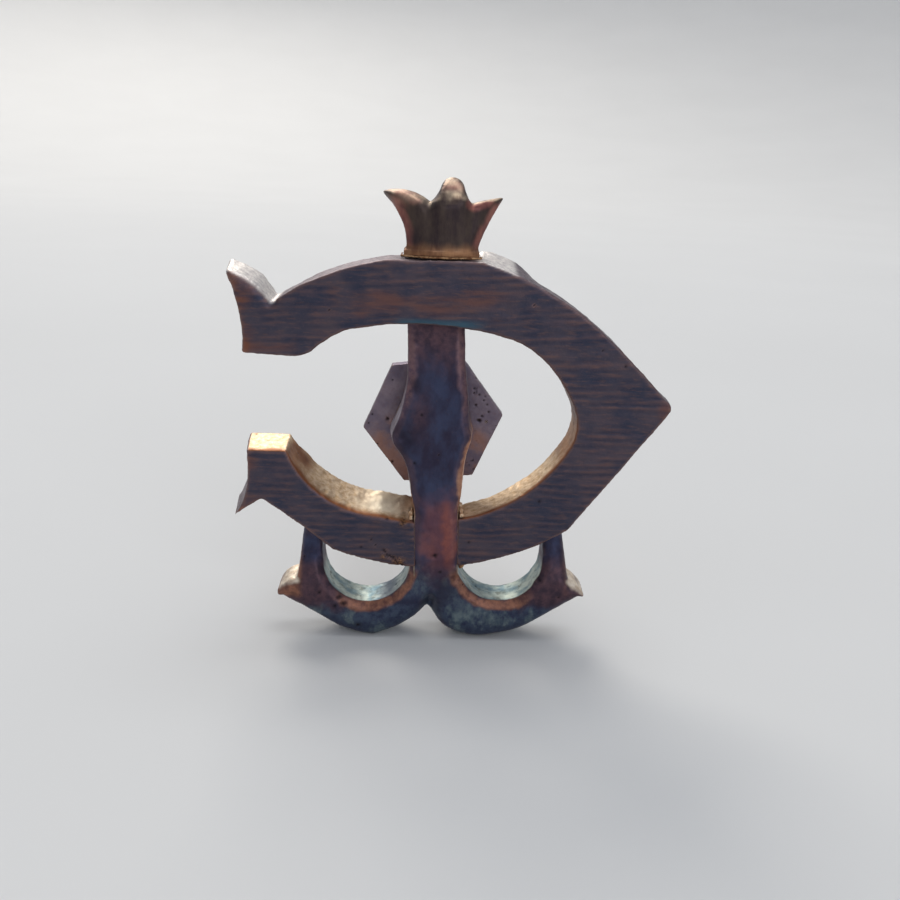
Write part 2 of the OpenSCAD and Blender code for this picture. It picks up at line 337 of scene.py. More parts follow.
class Skin:
    """A CAD node's own shape as an even skin of small faces, which is then worked."""

    def __init__(self, node, name, voxel, relax):
        self.node, self.name = node, name
        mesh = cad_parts[node].data.copy()
        mesh.transform(Matrix.Scale(1 / MM, 4))
        self.sharp = self.sharp_edges(mesh)
        rough = bpy.data.objects.new(name + "_rough", mesh)
        bpy.context.scene.collection.objects.link(rough)
        modifier = rough.modifiers.new("skin", "REMESH")
        modifier.mode = "VOXEL"
        modifier.voxel_size = voxel
        graph = bpy.context.evaluated_depsgraph_get()
        self.mesh = bpy.data.meshes.new_from_object(rough.evaluated_get(graph))
        bpy.data.objects.remove(rough)
        self.mesh.name = name
        self.mesh.shade_smooth()
        self.count = len(self.mesh.vertices)
        self.co = np.zeros(self.count * 3)
        self.mesh.vertices.foreach_get("co", self.co)
        self.co = self.co.reshape(-1, 3)
        ends = np.zeros(len(self.mesh.edges) * 2, np.int64)
        self.mesh.edges.foreach_get("vertices", ends)
        self.ends = ends.reshape(-1, 2)
        self.degree = np.bincount(self.ends.ravel(), minlength=self.count)
        self.relax(relax)
        self.refresh()

    @staticmethod
    def sharp_edges(mesh):
        """Points along the edges at which the CAD shape turns by more than 30 degrees."""
        b = bmesh.new()
        b.from_mesh(mesh)
        bmesh.ops.remove_doubles(b, verts=b.verts, dist=0.001)
        points = []
        for e in b.edges:
            if len(e.link_faces) == 2 and e.calc_face_angle(0) > math.radians(30):
                a, c = e.verts[0].co, e.verts[1].co
                n = max(2, int((a - c).length / 0.05))
                points += [tuple(a.lerp(c, i / n)) for i in range(n + 1)]
        b.free()
        return np.array(points)

    def neighbours(self, values):
        """The mean of each point's neighbours' values."""
        shape = (self.count,) + values.shape[1:]
        total = np.zeros(shape)
        np.add.at(total, self.ends[:, 0], values[self.ends[:, 1]])
        np.add.at(total, self.ends[:, 1], values[self.ends[:, 0]])
        return total / self.degree.reshape((-1,) + (1,) * (values.ndim - 1))

    def refresh(self):
        """Writes the points into the mesh and reads their normals again."""
        self.mesh.vertices.foreach_set("co", self.co.ravel())
        self.mesh.update()
        self.normal = np.zeros(self.count * 3)
        self.mesh.vertex_normals.foreach_get("vector", self.normal)
        self.normal = self.normal.reshape(-1, 3)

    def turn(self, degrees):
        """Turns the skin about the post's axis, its foot to the left as seen from the front."""
        c, s = math.cos(math.radians(degrees)), math.sin(math.radians(degrees))
        for points in (self.co, self.sharp):
            points[:, 0], points[:, 2] = (points[:, 0] * c + points[:, 2] * s,
                                          points[:, 2] * c - points[:, 0] * s)

    def lift(self, height):
        """Moves each point along its normal."""
        self.co += self.normal * np.asarray(height)[:, None]

    def from_edges(self, points):
        """Each point's distance, seen from the front, to the nearest of these points."""
        tree = KDTree(len(points))
        for i, (x, _, z) in enumerate(points):
            tree.insert((x, 0, z), i)
        tree.balance()
        return np.array([tree.find((x, 0, z))[2] for x, _, z in self.co])

    def push_back(self, face_y, drop, reach):
        """Takes the face at face_y back by drop, and what lies behind it by less and less."""
        self.co[:, 1] += drop * np.clip(1 - (self.co[:, 1] - face_y) / reach, 0, 1)

    def relax(self, times, share=1):
        """Moves each point half way to the middle of its neighbours, times share, again and again."""
        for _ in range(times):
            self.co += 0.5 * share * (self.neighbours(self.co) - self.co)

    def pits(self, count, radius, depth, seed, where=None):
        """Round pits at random points; returns how deep each point lies in one, from 0 to 1."""
        chosen = np.random.default_rng(seed)
        allowed = np.flatnonzero(where) if where is not None else np.arange(self.count)
        mark = np.zeros(self.count)
        for i in chosen.choice(allowed, count):
            r = radius * chosen.uniform(0.5, 1.5)
            away = np.linalg.norm(self.co - self.co[i], axis=1)
            near = away < 2.5 * r
            dip = np.exp(-(away[near] / r) ** 2)
            self.co[near] -= self.normal[near] * (dip * depth * chosen.uniform(0.6, 1.3))[:, None]
            mark[near] = np.maximum(mark[near], dip)
        return mark

    def mark(self, name, values):
        store(self.mesh, name, values)

    def bulge(self):
        """How far each point stands out from its neighbours, smoothed twice."""
        out = ((self.co - self.neighbours(self.co)) * self.normal).sum(1)
        return self.neighbours(self.neighbours(out))

    def done(self, body, material):
        """Marks the worn edges and the hollows, and puts the skin in the node's place."""
        self.refresh()
        edge = self.bulge()
        self.mark("worn", step(edge, 0.002, 0.012))
        self.mark("hollow", step(-edge, 0.002, 0.010))
        self.mesh.vertices.foreach_set("co", (self.co * MM).ravel())
        self.mesh.update()
        add_piece(self.name, self.mesh, material, body, self.node)


# ---------------------------------------------------------------- ring

CROSSING_X, CROSSING_HALF = 0.44, 1.5       # where the shank crosses the ring, and half its width
GRIND_PITCH = 0.46                          # between the lines that grinding left on the face
GRIND_SLOPE = 4                             # degrees that they rise to the right on the upper bow


def ring_material():
    s = Shader("ring_aged_brass")
    streak = s.noise((2.6, 3.0, 0.5), 4, 0.6, (0, -1.5, 0), 0.3)
    blotch = s.noise((2.2, 2.2, 1.5), 4, 0.6)
    fleck = s.noise((0.9, 0.9, 0.16), 3, 0.6, (0, -2, 0))
    grain = s.noise((0.3, 0.3, 0.3), 3, 0.65)
    fine = s.noise((0.14, 0.14, 0.12), 3, 0.6)
    # the face
    tone = s.tones(blotch, srgb(58, 62, 80), srgb(84, 76, 86))
    tone = s.mix(s.ramp(streak, 0.50, 0.72, 0, 0.35), tone, srgb(104, 82, 86))
    tone = s.mix(s.mark("ridge", s.ramp(blotch, 0.3, 0.6, 0.3, 0.7)), tone, srgb(110, 84, 82))
    tone = s.mix(s.ramp(fleck, 0.50, 0.68, 0, 0.45), tone, srgb(114, 88, 84))
    tone = s.mix(s.mark("furrow", 0.35), tone, srgb(44, 42, 60))
    tone = s.mix(s.ramp(fine, 0.52, 0.8, 0, 0.3), tone, srgb(108, 90, 94))
    tone = s.mix(s.mark("warm", s.ramp(streak, 0.36, 0.62, 0.2, 0.85)), tone, srgb(122, 80, 66))
    # the walls, coloured by where they face and how much light they get, so partly painted light and shade:
    # the inner walls' gold is partly painted light, and the walls that face down carry painted shade
    side = s.layers(
        s.tones(grain, srgb(200, 168, 130), srgb(232, 210, 180)),
        # painted highlight low on the inner walls
        ("painted_wall_glint", srgb(252, 240, 216)),
        ("tan", s.tones(blotch, srgb(120, 80, 62), srgb(172, 124, 88))),
        ("rim", srgb(150, 96, 62)),
        ("outer", s.tones(grain, srgb(100, 90, 96), srgb(136, 124, 128))),
        # painted highlight on the serif's top and the bow beside the coronet
        ("pale", s.tones(grain, srgb(208, 200, 196), srgb(242, 236, 228))),
        # painted shade on the walls that face down
        ("under", s.mix(blotch, srgb(96, 72, 70), srgb(130, 100, 88))))
    tone = s.layers(
        tone,
        ("back", s.mix(blotch, srgb(104, 80, 64), srgb(150, 118, 88))),
        ("wall", side))
    tone = s.mix(s.mark("worn", 0.35), tone, srgb(160, 122, 108))
    tone = s.layers(
        tone,
        ("verdigris_and_reflection", srgb(60, 96, 114)),
        ("crust", s.tones(fine, srgb(44, 30, 30), srgb(140, 102, 70), 0.4, 0.6)),
        ("seam", srgb(84, 62, 62)),
        ("pit", srgb(36, 30, 36)))
    rough = s.ramp(streak, 0.3, 0.7, 0.56, 0.44)
    return s.finish(tone, rough, 0.85, s.bump(fine, 0.008, s.bump(grain, 0.02)))


def slant_ring_walls(skin, face):
    """Some walls were sawn at a slant, so they move the more, the deeper behind the face."""
    x, y, z = skin.co.T
    depth = y - face
    left_ends = np.where(z > 3, step(x, -10.6, -12.0), step(x, -7.4, -11.4))
    skin.co[:, 0] -= 0.09 * left_ends * depth
    arm = np.interp(x, [-9.2, -8.2, -1.2, 0.6], [0.12, 0.30, 0.32, 0]) * step(z, 0.5, 0.0)
    serif = 0.13 * step(z, 6.8, 7.8) * step(x, -9.6, -10.8)
    by_coronet = 0.20 * step(z, 7.4, 8.6) * step(x, 1.4, 3.2) * step(x, 6.4, 4.4)
    skin.co[:, 2] += (arm + serif + by_coronet) * depth


def close_ring_gap(skin):
    """Solder fills the gap between the ring and the shank that crosses it."""
    x, y, z = skin.co.T
    away = x - CROSSING_X
    gap = spot((np.abs(away) - CROSSING_HALF, 0.18)) * step(z, -4.9, -5.3) * step(y, -1.2, -1.6)
    skin.co[:, 0] -= np.sign(away) * 0.12 * gap


def round_ring_edges(skin, face):
    """The face's edges are worn round, most of all at the upper serif."""
    edges = skin.sharp[skin.sharp[:, 1] < face + 0.1]
    ex, ez = edges[:, 0], edges[:, 2]
    edges = edges[(np.abs(ex - 0.4) > 1.8) | (ez > -4.5) | (ez < -9.2)]
    ex, ez = edges[:, 0], edges[:, 2]
    serif = edges[(ex < -9.6) & (ez > 1.2 - 0.62 * ex)]
    drop = np.maximum(rounding(skin.from_edges(edges), 0.16, 0.10),
                      rounding(skin.from_edges(serif), 0.60, 0.42))
    skin.push_back(face, drop, 0.9)


def mar_ring_face(skin, face):
    """Cuts a crack beside the crossing and lays crusts of old solder on; returns where both are."""
    x, _, z = skin.co.T
    along = np.clip((x + 3.0) / 1.4, 0, 1)
    bend = 0.08 * np.sin(9 * x) + 0.05 * np.sin(23 * x)
    crack = spot((z + 7.6 + 1.1 * along + bend, 0.06),
                 (np.clip(np.abs(x + 2.3) - 0.6, 0, 9), 0.1))
    crust = (spot((x + 1.95, 0.34), (z + 8.35, 0.30))
             + spot((x + 1.75, 0.22), (z + 5.55, 0.25))
             + 0.7 * spot((x - 1.8, 0.2), (z + 8.5, 0.25))
             + 0.6 * spot((x + 2.9, 0.2), (z + 8.0, 0.18)))
    skin.push_back(face, 0.12 * crack - 0.16 * crust * (0.6 + 0.8 * noise(skin.co, 0.22, 7)), 0.5)
    return crack, crust


def grind_ring(skin, front):
    """The face was ground flat, which left even lines; the walls were filed by hand."""
    x, _, z = skin.co.T
    slope = math.tan(math.radians(GRIND_SLOPE)) * step(z, 3, 7)
    level = z - slope * x + 0.10 * noise(skin.co, (3, 3, 1.5), 3)
    strength = 0.5 + 0.6 * noise(skin.co, (0.9, 9, 0.5), 4)
    wave = np.sin(2 * math.pi * level / GRIND_PITCH) * strength
    scratch = noise(np.stack([x / 3, 0 * x, level], 1), (1, 1, 0.2), 9)
    skin.lift(front * (0.012 * wave + 0.010 * scratch - 0.018))
    skin.lift((1 - front) * (0.03 * noise(skin.co, 1.4, 5) + 0.018 * noise(skin.co, 0.28, 10)))
    skin.lift(0.012 * noise(skin.co, 0.4, 6))
    return wave


def ring():
    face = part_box("open_ring")[0].y / MM
    skin = Skin("open_ring", "ring", 0.092, 2)
    slant_ring_walls(skin, face)
    close_ring_gap(skin)
    round_ring_edges(skin, face)
    crack, crust = mar_ring_face(skin, face)
    skin.refresh()
    normal = skin.normal.copy()
    front = step(-normal[:, 1], 0.45, 0.85)
    wave = grind_ring(skin, front)
    skin.refresh()
    x, y, z = skin.co.T
    outward = normal[:, 0] * (x - 0.5) / 10 + normal[:, 2] * (z - 0.8) / 7
    outer = step(outward, 0.0, 0.25)
    inner = 1 - outer
    ragged = 0.5 * noise(skin.co, 0.9, 8)
    # painted highlights: the serif's top and the bow beside the coronet are coloured pale
    serif_top = step(x, -9.2, -9.7) * step(z, 7.6, 8.0) * step(normal[:, 2], 0.2, 0.5)
    by_coronet = step(np.abs(x - 3.4), 1.4, 0.9) * outer
    skin.mark("pale", np.maximum(serif_top, by_coronet))
    # the walls' gold is partly painted light
    skin.mark("wall", (1 - front) * step(normal[:, 1], 0.9, 0.6))
    skin.mark("back", step(normal[:, 1], 0.6, 0.9))
    skin.mark("outer", outer)
    # painted shade: walls that face down are coloured darker
    skin.mark("under", step(-normal[:, 2], -0.1, 0.3))
    skin.mark("ridge", front * step(wave, 0.1, 0.9))
    skin.mark("furrow", front * step(-wave, 0.1, 0.9))
    skin.mark("pit", np.maximum(skin.pits(40, 0.07, 0.06, 11), 0.9 * crack))
    skin.mark("crust", np.clip(crust * (1.2 + noise(skin.co, 0.2, 12)), 0, 1))
    beside_shank = step(np.abs(x - 0.4), 1.9, 1.6) * step(z, -4.9, -5.3)
    skin.mark("seam", 0.8 * beside_shank * (1 - front) * step(y, -1.1, -1.25))
    # the inner walls get a painted highlight at the bottom, and are tanned at both ends
    skin.mark("painted_wall_glint", inner * spot((x + 3.1, 1.5), (z + 5.3, 1.0)) * step(y, face + 0.4, face + 0.9))
    left_end = step(x + ragged, -7.2, -8.6) * step(z, -0.8, -1.3)
    nose_end = 0.8 * step(x - ragged, 6.4, 7.6)
    upright = step(np.abs(normal[:, 2]) + 0.3 * (x > 0), 0.95, 0.8)
    skin.mark("tan", inner * (left_end + nose_end) * upright)
    skin.mark("rim", inner * step(y + 0.25 * ragged, face + 0.55, face + 0.15))
    # the face is warmer along the upper bow, at the nose and at both left-hand ends
    bow = step(np.abs(z - 8.5 - 0.05 * x) + 0.7 * ragged, 1.0, 0.1) * step(np.abs(x + 1) + ragged, 6, 3)
    nose = step(np.hypot(x - 13.9, z - 2.2) + ragged, 0.9, 0.1)
    serif_tip = step(x + ragged, -10.8, -11.8)
    serif_foot = step(np.abs(z - 5.4) + 0.5 * ragged, 0.5, 0.1) * step(x, -8.0, -9.5)
    skin.mark("warm", 0.6 * bow + 0.5 * nose + serif_tip + 0.6 * serif_foot)
    over_shank = step(np.abs(x) + ragged, 3.2, 1.6) * step(np.abs(z - 7.15), 0.42, 0.05)
    skin.mark("verdigris_and_reflection", 0.8 * front * over_shank)
    skin.done("badge", ring_material())


ring()


# ---------------------------------------------------------------- anchor

ANCHOR_LEAN = 2         # degrees that its foot leans to the right
BEND_X, BEND_Z, BEND_R = 4.35, -8.45, 2.8    # the inside of each arm's bend
SHANK_FOOT = -9.7       # where the shank ends in the arms
BOSS_HALF = 2.9         # half the width within which the shank lies
SHANK_X = 0.2           # the shank's middle, from the middle between the arms

# the larger casting pits, each with its x, z and radius
ANCHOR_PITS = (
    (0.10, -7.75, 0.16), (0.45, -9.0, 0.09), (-6.1, -10.9, 0.16), (-5.9, -11.35, 0.20),
    (-6.45, -11.5, 0.12), (-5.5, -10.75, 0.12), (-5.0, -12.95, 0.18), (-7.4, -10.5, 0.10),
    (6.7, -9.5, 0.15), (7.0, -9.8, 0.10))


def anchor_face(x, z):
    """The depth of the anchor's front face, as the CAD shape has it."""
    shank = np.interp(z, [-9.7, -8.0, -5.6, 7.1], [-2.7, -3.0, -3.0, -1.7])
    arms = np.interp(z, [-9.8, -7.2], [-2.7, -1.9])
    return np.where((np.abs(x) < BOSS_HALF) & (z > SHANK_FOOT), shank, arms)


def anchor_material():
    s = Shader("anchor_aged_brass")
    blotch = s.noise((1.3, 1.3, 2.2), 4, 0.6)
    mottle = s.noise((0.5, 0.5, 0.5), 3, 0.65)
    fine = s.noise((0.14, 0.14, 0.14), 3, 0.6)
    # the walls: pale and cream are painted highlights, and flesh is partly painted light
    wall = s.layers(
        s.tones(mottle, srgb(78, 62, 76), srgb(112, 88, 94)),
        ("flesh_and_painted_light", s.tones(mottle, srgb(162, 116, 96), srgb(206, 160, 130))),
        ("pale", s.mix(mottle, srgb(150, 142, 154), srgb(186, 180, 190))),
        ("cream_painted_highlight", s.tones(mottle, srgb(206, 184, 160), srgb(244, 232, 214))))
    # teal tones for a painted reflection on the arms
    dull_teal = s.tones(mottle, srgb(54, 60, 84), srgb(78, 90, 110))
    clear_teal = s.tones(mottle, srgb(78, 92, 106), srgb(116, 130, 134))
    # the green of the bowls is a painted reflection
    green = s.tones(blotch, srgb(100, 128, 138), srgb(180, 190, 180), 0.35, 0.65)
    green = s.mix(s.ramp(mottle, 0.50, 0.70, 0, 0.6), green, srgb(92, 96, 88))
    body = s.layers(
        s.tones(blotch, srgb(50, 46, 66), srgb(60, 66, 92), 0.35, 0.65),
        # painted reflection: the teal of the arms
        ("painted_blue_reflection", s.tones(blotch, dull_teal, clear_teal, 0.50, 0.62)),
        ("brown", s.tones(mottle, srgb(62, 50, 62), srgb(96, 72, 80))),
        ("copper", s.tones(blotch, srgb(98, 68, 80), srgb(126, 82, 84))),
        ("red", s.tones(mottle, srgb(126, 74, 72), srgb(154, 92, 80))),
        ("bevel", s.tones(mottle, srgb(92, 74, 88), srgb(134, 104, 108))),
        ("band", s.tones(mottle, srgb(112, 76, 66), srgb(166, 116, 92))),
        ("wall", wall),
        ("verdigris_and_reflection", green))
    body = s.mix(s.ramp(fine, 0.55, 0.75, 0, 0.3), body, srgb(84, 66, 70))
    body = s.mix(s.mark("worn", 0.25), body, srgb(170, 134, 122))
    body = s.layers(
        body,
        # painted shade in the dents and the notch
        ("painted_shade", srgb(40, 32, 44)),
        ("seam", srgb(86, 64, 64)),
        ("pit", srgb(30, 22, 28)))
    rough = s.ramp(mottle, 0.3, 0.7, 0.40, 0.56)
    return s.finish(body, rough, 0.8, s.bump(fine, 0.008, s.bump(mottle, 0.02)))


def bevel_anchor(skin, face, out):
    """Gives each kind of edge its bevel; returns each point's distance from the shank's sides."""
    z = skin.co[:, 2]
    edges = skin.sharp[skin.sharp[:, 1] < -1.6]
    ex, ez = np.abs(edges[:, 0]), edges[:, 2]
    inner = (np.abs(np.hypot(ex - BEND_X, ez - BEND_Z) - BEND_R) < 0.12) & (ez < BEND_Z)
    shank = (ex < BOSS_HALF) & (ex > 1.1) & (ez > -8.7) & ~inner
    barb = (ex > 8.3) & (ez > -10.5) & ~inner
    outer = (ez < -10.5) & ~inner & (ex < 9.9)
    other = (ex > 7) & ~inner & ~outer & ~barb
    drop = chamfer(skin.from_edges(edges[inner]), 0.45, 0.34)
    for kind, width, depth in ((outer, 1.2, 0.60), (barb, 0.8, 0.55), (other, 0.5, 0.25)):
        drop = np.maximum(drop, rounding(skin.from_edges(edges[kind]), width, depth))
    drop = drop * step(np.where(out < 1.55, z, -20), -8.2, -9.6)
    from_side = skin.from_edges(edges[shank])
    sides = chamfer(from_side, 0.40, 0.30) * step(z, -9.6, -8.4)
    skin.push_back(face, np.maximum(drop, sides), 1.0)
    return from_side


def shape_anchor(skin, face, out, in_bend):
    """Gives the anchor the flared sides, uneven barbs, groove and dents of a casting."""
    x, y, z = skin.co.T
    # the shank's sides slope outwards to the back, most of all beside the boss
    flare = np.interp(z, [-4, -1.5, 0.5, 2.5], [0.16, 0.30, 0.18, 0.04]) * step(z, -5.4, -4.6)
    ahead = np.clip((y + 0.2) / (face + 0.2), 0, 1)
    from_middle = np.abs(x - SHANK_X)
    flare = flare * ahead * step(from_middle, 0.6, 1.4) * (out < BOSS_HALF)
    skin.co[:, 0] -= np.sign(x - SHANK_X) * flare
    # the right-hand barb is a little lower than the left-hand one
    skin.co[:, 2] -= 0.40 * step(x, 8.3, 9.3) * step(z, -11.8, -10.0)
    skin.co[:, 0] -= 0.25 * step(x, 8.6, 10.0)
    # a groove between the arms, dents in the boss and neck, and a kink in the right-hand bend
    groove = 0.9 * spot((x + 0.2, 0.22 + 0.12 * np.clip(-z - 10, 0, 2))) * step(z, -10.4, -11.7)
    skin.push_back(face, groove, 2.2)
    dent = 0.24 * spot((x + 1.75, 0.5), (z + 0.1, 0.45)) + 0.12 * spot((x + 1.1, 0.35), (z - 3.3, 0.5))
    skin.push_back(face, dent, 1.0)
    kink = 0.24 * spot((x - 6.45, 0.30), (z + 9.75, 0.30)) * (in_bend < 0.6)
    toward = np.stack([BEND_X - x, np.zeros_like(x), BEND_Z - z], 1)
    skin.co += toward / np.linalg.norm(toward, axis=1)[:, None] * kink[:, None]
    skin.relax(2)


def pit_anchor(skin, face):
    """Small random pits and the larger ones; returns how deep each point lies in one."""
    x, y, z = skin.co.T
    pit = skin.pits(30, 0.08, 0.07, 23)
    for px, pz, r in ANCHOR_PITS:
        reach = r * (1 + 0.5 * noise(skin.co, 0.16, 26))
        dip = spot((np.hypot(x - px, z - pz), reach)) * (y < face + 0.9)
        skin.co[:, 1] += 0.7 * r * dip
        pit = np.maximum(pit, dip)
    return pit


def anchor():
    skin = Skin("anchor", "anchor_body", 0.085, 2)
    skin.turn(ANCHOR_LEAN)
    x, y, z = skin.co.T
    face = anchor_face(x, z)
    out = np.abs(x)
    in_bend = np.hypot(out - BEND_X, z - BEND_Z) - BEND_R
    from_side = bevel_anchor(skin, face, out)
    shape_anchor(skin, face, out, in_bend)
    skin.refresh()
    normal = skin.normal.copy()
    skin.lift(0.035 * noise(skin.co, 1.1, 21) + 0.016 * noise(skin.co, 0.3, 22) - 0.03)
    skin.refresh()
    skin.mark("pit", pit_anchor(skin, face))
    ragged = 0.5 * noise(skin.co, 0.8, 24) + 0.25 * noise(skin.co, 0.3, 25)
    ahead, up = -normal[:, 1], normal[:, 2]
    front = step(ahead, 0.30, 0.7)

    # the shank's bevels and side walls
    high_up = 0.3 + 0.7 * step(z + ragged, 0.5, 2.5)
    bevel = step(from_side + 0.5 * ragged, 0.70, 0.25) * front * step(z + ragged, -9, -6)
    skin.mark("bevel", bevel * high_up)
    shank_side = (1 - front) * (out < BOSS_HALF) * step(z, -9.9, -9.1)
    right_edge = (step(from_side + 0.3 * ragged, 0.32, 0.12) * step(x, 0.6, 1.0)
                  * step(z, 0.8, -0.4) * step(z, -5.0, -4.2))
    on_barb = step(out, 8.4, 8.8) * step(z, -9.2, -9.6)
    barb_top = on_barb * step(up + 0.3 * ragged, 0.40, 0.75)
    skin.mark("wall", np.maximum(np.maximum(shank_side, 0.8 * right_edge), barb_top))
    # painted light: flesh is a copper band on the right side below the boss and also lightens the lower
    # sides as if lit; pale is a painted gloss line on the boss's left wall; cream is a painted highlight on
    # the barbs' tops and the lower sides
    skin.mark("flesh_and_painted_light", step(x, 0, 0.5) * step(z + 0.5 * ragged, 0.8, -0.4) + step(z, -3.0, -4.0))
    skin.mark("pale", step(x, 0, -0.5) * step(z, -2.5, -1.0) * step(z, 3.4, 2.2) * (0.7 + ragged))
    skin.mark("cream_painted_highlight", on_barb + 0.6 * step(z, -4.5, -5.2))
    at_crossing = step(z, -4.9, -5.3) * step(z, -8.9, -8.6) * step(out, 2.1, 1.8)
    skin.mark("seam", 0.8 * at_crossing * step(ahead, 0.25, 0.05))

    # the bowls of the arms are green, a painted reflection, with a bright lip
    around = np.degrees(np.arctan2(z - BEND_Z, out - BEND_X))
    bowl = step(around, -40, -70) * step(around, -178, -160) * (z < BEND_Z)
    lip = step(np.abs(in_bend - 0.30) + 0.25 * ragged, 0.46, 0.20) * bowl * step(ahead, 0.25, 0.45)
    left_barb = step(out, 8.4, 8.9) * step(z, -11.0, -10.6) * step(x, 9, 8) * step(up, 0.75, 0.45)
    skin.mark("band", 0.9 * np.maximum(lip, left_barb))
    in_bowl = step(ahead, 0.45, 0.2) * step(z, -8.4, -9.4) * step(out, 8.4, 8.0) * step(in_bend, 0.5, 0.2)
    # painted reflection: green in the bowls of the arms
    skin.mark("verdigris_and_reflection", in_bowl * (0.95 - 0.7 * spot((x + 2.9, 0.8))))

    # the colours of the face, from the copper red of the crossing to the teal of the arms, which is a
    # painted reflection
    copper = step(z + ragged, -3.0, -6.0) * step(z - ragged, -10.4, -7.6)
    skin.mark("copper", front * copper * step(np.abs(x - 0.45) + 0.9 * ragged, 1.9, 0.5))
    red = step(z + ragged, -3.4, -6.0) * step(z - ragged, -9.8, -7.0)
    skin.mark("red", 0.8 * front * red * step(np.abs(x - 1.15) + 0.6 * ragged, 0.7, 0.15))
    between_arms = step(z + ragged, -8, -9) * step(out, 4, 2)
    skin.mark("painted_blue_reflection", step(z - 0.7 * ragged, -11.2, -12.2) + 0.5 * between_arms)
    on_arms = step(out + ragged, 5.0, 6.4) * step(z - ragged, -12.4, -11.2) * step(z, -8, -9)
    skin.mark("brown", step(z + ragged, 3.4, 6.2) + on_arms + 0.6 * spot((x + 0.9, 0.7), (z - 1.6, 1.6)))
    # painted shade in the dents of the boss and neck and at the top of the notch between the arms
    skin.mark("painted_shade", 0.8 * spot((x + 1.7 + 0.6 * ragged, 0.75), (z + 0.3, 0.9))
              + 0.7 * spot((x + 1.1, 0.3), (z - 3.3, 0.5))
              + 0.5 * spot((x - 0.7, 0.9), (z + 10.2 + ragged, 1.0)))
    skin.turn(-ANCHOR_LEAN)
    skin.done("badge", anchor_material())


anchor()


# ---------------------------------------------------------------- coronet

CORONET_X, CORONET_FOOT_Z = 0.1, 10.9       # middle of the coronet's foot
CORONET_FACE, CORONET_R = -2.2, 4.7         # its rounded front
PETAL_SHIFT = 0.55                          # the middle petal stands to the right


def coronet_material():
    s = Shader("coronet_aged_brass")
    blotch = s.noise((0.6, 0.9, 1.8), 4, 0.6)
    fine = s.noise((0.15, 0.15, 0.15), 3, 0.6)
    body = s.layers(
        s.tones(blotch, srgb(54, 44, 48), srgb(80, 68, 62)),
        ("side", s.tones(blotch, srgb(104, 66, 64), srgb(150, 98, 88))),
        # painted highlight on the faces that look up and on the glint spots
        ("top", s.tones(blotch, srgb(150, 124, 104), srgb(222, 200, 170))),
        ("foot", s.tones(blotch, srgb(122, 84, 62), srgb(164, 122, 88))))
    body = s.mix(s.mark("worn", 0.3), body, srgb(190, 150, 118))
    body = s.layers(body, ("hollow", srgb(54, 42, 42)))
    return s.finish(body, s.ramp(blotch, 0.3, 0.7, 0.38, 0.52), 0.85, s.bump(fine, 0.01))


def curve_coronet(skin, from_middle, up, middle):
    """Makes the middle petal fall back in a smooth curve; returns the depth of the front face."""
    y = skin.co[:, 1]
    rounded = CORONET_FACE + CORONET_R - np.sqrt(CORONET_R ** 2 - from_middle ** 2)
    slope = np.interp(up, [3.18, 4.6], [-2.2, -0.6], left=-9)
    sharp_face = np.maximum(rounded, slope)
    curve = np.interp(up, [2.8, 3.1, 3.4, 3.75, 4.1, 4.35, 4.6],
                      [-2.25, -2.13, -1.96, -1.68, -1.32, -1.0, -0.6])
    soft_face = np.maximum(rounded, curve)
    face = sharp_face + (soft_face - sharp_face) * middle
    skin.co[:, 1] += (face - sharp_face) * np.clip((y + 0.3) / (sharp_face + 0.3), 0, 1)
    return face


def bevel_coronet(skin, face, from_middle, up):
    """Rounds the petals' tops and bevels the sides; returns the points along the sides' edges."""
    x = skin.co[:, 0]
    edges = skin.sharp
    high = (edges[:, 2] > CORONET_FOOT_Z + 2.85) & (edges[:, 1] > -1.4)
    sides = (edges[:, 2] > CORONET_FOOT_Z + 0.6) & (np.abs(edges[:, 0] - CORONET_X) > 1.7) & ~high
    wide = np.interp(x, [-2.5, -0.9, -0.2, 1.5, 2.2], [0.75, 0.8, 0.34, 0.32, 0.3])
    top = rounding(skin.from_edges(edges[high]), wide, 1.2 * wide)
    # each petal is a little hollow between its middle and the notches beside it
    flute = spot((from_middle + 0.75, 0.35)) + spot((from_middle - 1.7, 0.35))
    top = top + 0.12 * flute * step(up, 0.8, 2.8)
    skin.push_back(face, np.maximum(top, chamfer(skin.from_edges(edges[sides]), 0.45, 0.25)), 1.0)
    return edges[sides]


